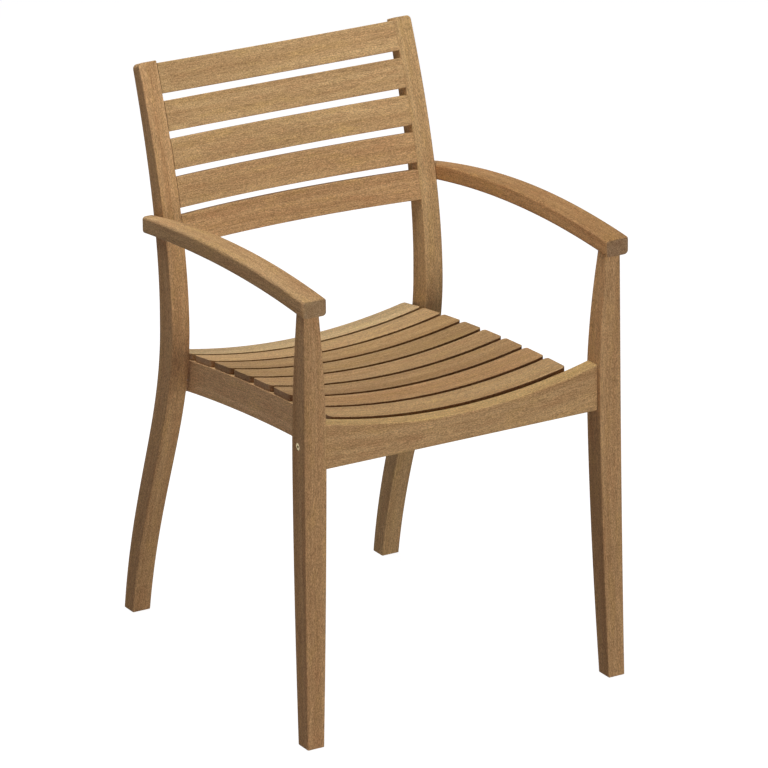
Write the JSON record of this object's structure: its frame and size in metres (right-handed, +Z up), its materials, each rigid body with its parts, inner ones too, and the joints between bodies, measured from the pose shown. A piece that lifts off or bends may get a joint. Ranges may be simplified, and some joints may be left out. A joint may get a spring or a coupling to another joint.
{
  "type": "slatted garden armchair",
  "caption": "Slatted teak armchair with bowed back slats, a dished slatted seat, arched arms and sabre-curved rear posts.",
  "frame": {"origin": "centre of the footprint's bounding box, on the floor", "axes": "+Z up, -Y the way the sitter faces, +X to the right in a front view"},
  "size_m": [0.533, 0.6184, 0.8689],
  "materials": {
    "teak": "oiled satin",
    "shaded_teak": "sanded, unoiled",
    "dowel_wood": "plain turned",
    "brass": "satin",
    "steel": "plain"
  },
  "bodies": {
    "root": {"front_leg_left": "teak", "front_leg_right": "teak", "rear_post_left": "teak", "rear_post_right": "teak", "arm_left": "teak", "arm_right": "teak", "side_rail_left": "teak", "side_rail_right": "teak", "front_rail": "teak", "seat_slat_1": "teak", "seat_slat_2": "teak", "seat_slat_3": "teak", "seat_slat_4": "teak", "seat_slat_5": "teak", "seat_slat_6": "teak", "seat_slat_7": "teak", "seat_slat_8": "teak", "back_slat_1": "teak", "back_slat_2": "teak", "back_slat_3": "teak", "back_slat_4": "teak", "back_slat_5": "teak", "rear_rail": "shaded_teak", "seat_bearer": "shaded_teak", "slat_dowel_left_1": "dowel_wood", "slat_dowel_left_2": "dowel_wood", "slat_dowel_left_3": "dowel_wood", "slat_dowel_left_4": "dowel_wood", "slat_dowel_left_5": "dowel_wood", "slat_dowel_left_6": "dowel_wood", "slat_dowel_left_7": "dowel_wood", "slat_dowel_left_8": "dowel_wood", "slat_dowel_right_1": "dowel_wood", "slat_dowel_right_2": "dowel_wood", "slat_dowel_right_3": "dowel_wood", "slat_dowel_right_4": "dowel_wood", "slat_dowel_right_5": "dowel_wood", "slat_dowel_right_6": "dowel_wood", "slat_dowel_right_7": "dowel_wood", "slat_dowel_right_8": "dowel_wood", "arm_dowel_left_front": "dowel_wood", "arm_dowel_left_rear": "dowel_wood", "arm_dowel_right_front": "dowel_wood", "arm_dowel_right_rear": "dowel_wood", "leg_bolt_left": "brass", "leg_bolt_right": "brass", "leg_bolt_nut_left": "steel", "leg_bolt_nut_right": "steel", "post_screw_left_lower": "steel", "post_screw_left_upper": "steel", "post_screw_right_lower": "steel", "post_screw_right_upper": "steel"}
  },
  "joints": []
}
